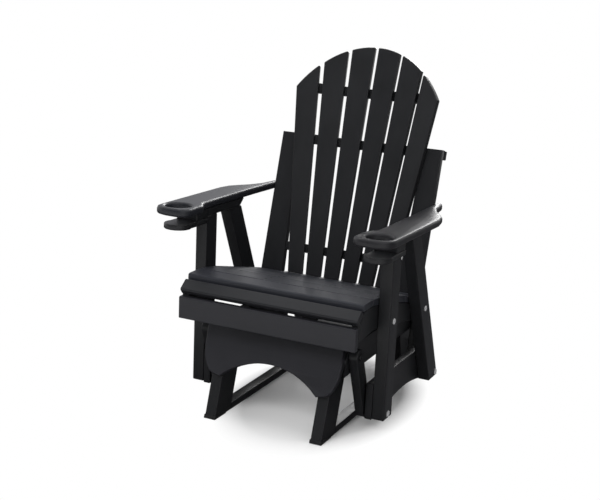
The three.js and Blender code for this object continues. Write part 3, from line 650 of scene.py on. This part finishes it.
def foot_cap(name, leg, sign, material):
    """A cap of three walls round a foot: its open end meets the rail between the feet."""
    low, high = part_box(leg)
    toe = low.y if sign < 0 else high.y
    middle = Vector(
        ((low.x + high.x) / 2, toe - sign * CAP_LENGTH / 2, CAP_LIFT + CAP_HEIGHT / 2)
    )
    bpy.ops.object.select_all(action="DESELECT")
    bpy.ops.mesh.primitive_cube_add(size=1, location=(0, 0, 0))
    made = bpy.context.object
    mesh = made.data
    made.name = mesh.name = name
    mesh.transform(Matrix.Diagonal((high.x - low.x, CAP_LENGTH, CAP_HEIGHT, 1)))
    mesh.transform(Matrix.Translation(middle))
    bpy.ops.object.mode_set(mode="EDIT")
    bpy.ops.mesh.select_mode(type="FACE")
    bpy.ops.mesh.select_all(action="DESELECT")
    bpy.ops.object.mode_set(mode="OBJECT")
    for polygon in mesh.polygons:
        level = abs(polygon.normal.z) > FACES_ALONG
        inner = polygon.normal.y * sign < -FACES_ALONG
        polygon.select = level or inner
    bpy.ops.object.mode_set(mode="EDIT")
    bpy.ops.mesh.delete(type="ONLY_FACE")
    bpy.ops.object.mode_set(mode="OBJECT")
    # The end wall leans with the leg
    for vertex in mesh.vertices:
        if abs(vertex.co.y - toe) < MILLIMETRE:
            vertex.co.y -= sign * LEG_LEAN * (vertex.co.z - TOE_HEIGHT)
    wall = made.modifiers.new("wall", "SOLIDIFY")
    wall.thickness = CAP_WALL
    wall.offset = 1.0
    wall.use_even_offset = True
    soft = made.modifiers.new("soft", "BEVEL")
    soft.width = CAP_EDGE
    soft.segments = 2
    for modifier in ("wall", "soft"):
        bpy.ops.object.modifier_apply(modifier=modifier)
    bpy.ops.object.shade_smooth_by_angle(angle=SMOOTH_ANGLE)
    mesh.materials.clear()
    mesh.materials.append(material)
    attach(made, BASE)


class GLIDER_OT_foot_caps(bpy.types.Operator):
    """Adds the low rubber caps round the feet of the base"""

    bl_idname = "glider.foot_caps"
    bl_label = "Foot caps"

    def execute(self, context):
        rubber = rubber_material()
        for end, sign in (("front", -1), ("rear", 1)):
            for side, _ in SIDES:
                foot_cap(f"foot_cap_{end}_{side}", f"base_{end}_leg_{side}", sign, rubber)
        return {"FINISHED"}


# -------------------------------------------------------------------- stage


def look_at(place, target, roll=0.0):
    """The matrix of a camera, lamp or card that stands at a place and faces a target."""
    forward = (target - place).normalized()
    upright = Vector((0, 1, 0)) if abs(forward.z) > STRAIGHT_DOWN else Vector((0, 0, 1))
    right = forward.cross(upright).normalized()
    up = right.cross(forward)
    image_right = math.cos(roll) * right + math.sin(roll) * up
    image_up = -math.sin(roll) * right + math.cos(roll) * up
    turned = Matrix((image_right, image_up, -forward)).transposed().to_4x4()
    return Matrix.Translation(place) @ turned


def studio_lamp(name, place, target, size, power, reflected):
    """A soft rectangular lamp."""
    light = bpy.data.lights.new(name, "AREA")
    light.shape = "RECTANGLE"
    light.size, light.size_y = size
    light.energy = power
    made = bpy.data.objects.new(name, light)
    bpy.context.scene.collection.objects.link(made)
    made.matrix_world = look_at(Vector(place), Vector(target))
    made.visible_glossy = reflected


def studio_card(name, place, target, size, grey):
    """A card that only reflections show."""
    bpy.ops.object.select_all(action="DESELECT")
    bpy.ops.mesh.primitive_grid_add(
        x_subdivisions=2, y_subdivisions=2, size=1, location=(0, 0, 0)
    )
    made = bpy.context.object
    made.name = name
    made.data.transform(look_at(Vector(place), Vector(target)) @ Matrix.Diagonal((*size, 1, 1)))
    finish = Finish(name)
    tone = (grey, grey, grey * CARD_BLUE, 1)
    glow = finish.node("ShaderNodeEmission", {"Color": tone, "Strength": 1.0})
    finish.connect(finish.surface, glow)
    made.data.materials.append(finish.material)
    made.visible_camera = False
    made.visible_diffuse = False
    made.visible_shadow = False


def studio_floor(tone):
    """A pale floor that keeps the chair's shade and turns white further off."""
    bpy.ops.object.select_all(action="DESELECT")
    bpy.ops.mesh.primitive_grid_add(
        x_subdivisions=4, y_subdivisions=4, size=FLOOR_SIZE, location=(0, 0, -FLOOR_DROP)
    )
    floor = bpy.context.object
    floor.name = "studio_floor"
    finish = Finish("studio_floor")
    finish.set(
        {
            "Base Color": colour(tone),
            "Roughness": FLOOR_ROUGHNESS,
            "Specular IOR Level": 0.0,
        }
    )
    scale = (1 / FLOOR_OVAL[0], 1 / FLOOR_OVAL[1], 0)
    shift = (-FLOOR_MIDDLE[0] * scale[0], -FLOOR_MIDDLE[1] * scale[1], 0)
    centring = {"Vector": finish.place(), "Location": shift, "Scale": scale}
    centred = finish.node("ShaderNodeMapping", centring)
    away = finish.node("ShaderNodeVectorMath", {0: centred}, output="Value", operation="LENGTH")
    far = finish.spread(away, band=FLOOR_FADE)
    white = finish.node("ShaderNodeEmission", {"Color": (1, 1, 1, 1), "Strength": 1.0})
    shaded = Value(finish, finish.shader.outputs[0])
    whitened = finish.node(
        "ShaderNodeMixShader", {0: far * finish.straight_rays(), 1: shaded, 2: white}
    )
    finish.connect(finish.surface, whitened)
    floor.data.materials.append(finish.material)


def studio_world(scene):
    """White surroundings that look at full strength and light the chair at less."""
    world = bpy.data.worlds.new("studio")
    scene.world = world
    world.use_nodes = True
    nodes = Nodes(world.node_tree)
    background = nodes.tree.nodes["Background"]
    background.inputs["Color"].default_value = (1, 1, 1, 1)
    strength = nodes.spread(nodes.straight_rays(), band=(0.0, 1.0), out=(WORLD_FILL, 1.0))
    nodes.connect(background.inputs["Strength"], strength)


def studio_camera(scene):
    """The camera at the chair's front left."""
    camera = bpy.data.cameras.new("camera")
    camera.sensor_fit = "HORIZONTAL"
    camera.sensor_width = SENSOR_WIDTH
    camera.lens = SENSOR_WIDTH * FOCAL_PIXELS / PICTURE_WIDTH
    viewer = bpy.data.objects.new("camera", camera)
    scene.collection.objects.link(viewer)
    viewer.matrix_world = look_at(CAMERA_PLACE, CAMERA_TARGET, CAMERA_ROLL)
    scene.camera = viewer


class GLIDER_OT_stage(bpy.types.Operator):
    """Sets the floor, the lights, the pale surroundings and the camera"""

    bl_idname = "glider.stage"
    bl_label = "Studio"

    def execute(self, context):
        scene = context.scene
        studio_floor(scene.glider_stage.floor)
        studio_world(scene)
        for lamp in LAMPS:
            studio_lamp(*lamp)
        for card in CARDS:
            studio_card(*card)
        studio_camera(scene)
        scene.view_settings.view_transform = "Standard"
        return {"FINISHED"}


# ------------------------------------------------------------ panel and run

STEPS = (
    GLIDER_OT_boards,
    GLIDER_OT_bolts,
    GLIDER_OT_screws,
    GLIDER_OT_foot_caps,
    GLIDER_OT_stage,
)


class GLIDER_PT_panel(bpy.types.Panel):
    bl_label = "Adirondack glider"
    bl_idname = "GLIDER_PT_panel"
    bl_space_type = "VIEW_3D"
    bl_region_type = "UI"
    bl_category = "Glider"

    def draw(self, context):
        layout = self.layout
        scene = context.scene
        for settings in (scene.glider_boards, scene.glider_fasteners, scene.glider_stage):
            for key in settings.__annotations__:
                layout.prop(settings, key)
        for step in STEPS:
            layout.operator(step.bl_idname)


CLASSES = (BoardSettings, FastenerSettings, StageSettings, *STEPS, GLIDER_PT_panel)


def register():
    for each in CLASSES:
        bpy.utils.register_class(each)
    bpy.types.Scene.glider_boards = bpy.props.PointerProperty(type=BoardSettings)
    bpy.types.Scene.glider_fasteners = bpy.props.PointerProperty(type=FastenerSettings)
    bpy.types.Scene.glider_stage = bpy.props.PointerProperty(type=StageSettings)


def unregister():
    del bpy.types.Scene.glider_stage
    del bpy.types.Scene.glider_fasteners
    del bpy.types.Scene.glider_boards
    for each in reversed(CLASSES):
        bpy.utils.unregister_class(each)


def main():
    register()
    bpy.ops.glider.boards()
    bpy.ops.glider.bolts()
    bpy.ops.glider.screws()
    bpy.ops.glider.foot_caps()
    bpy.ops.glider.stage()


if __name__ == "__main__":
    main()
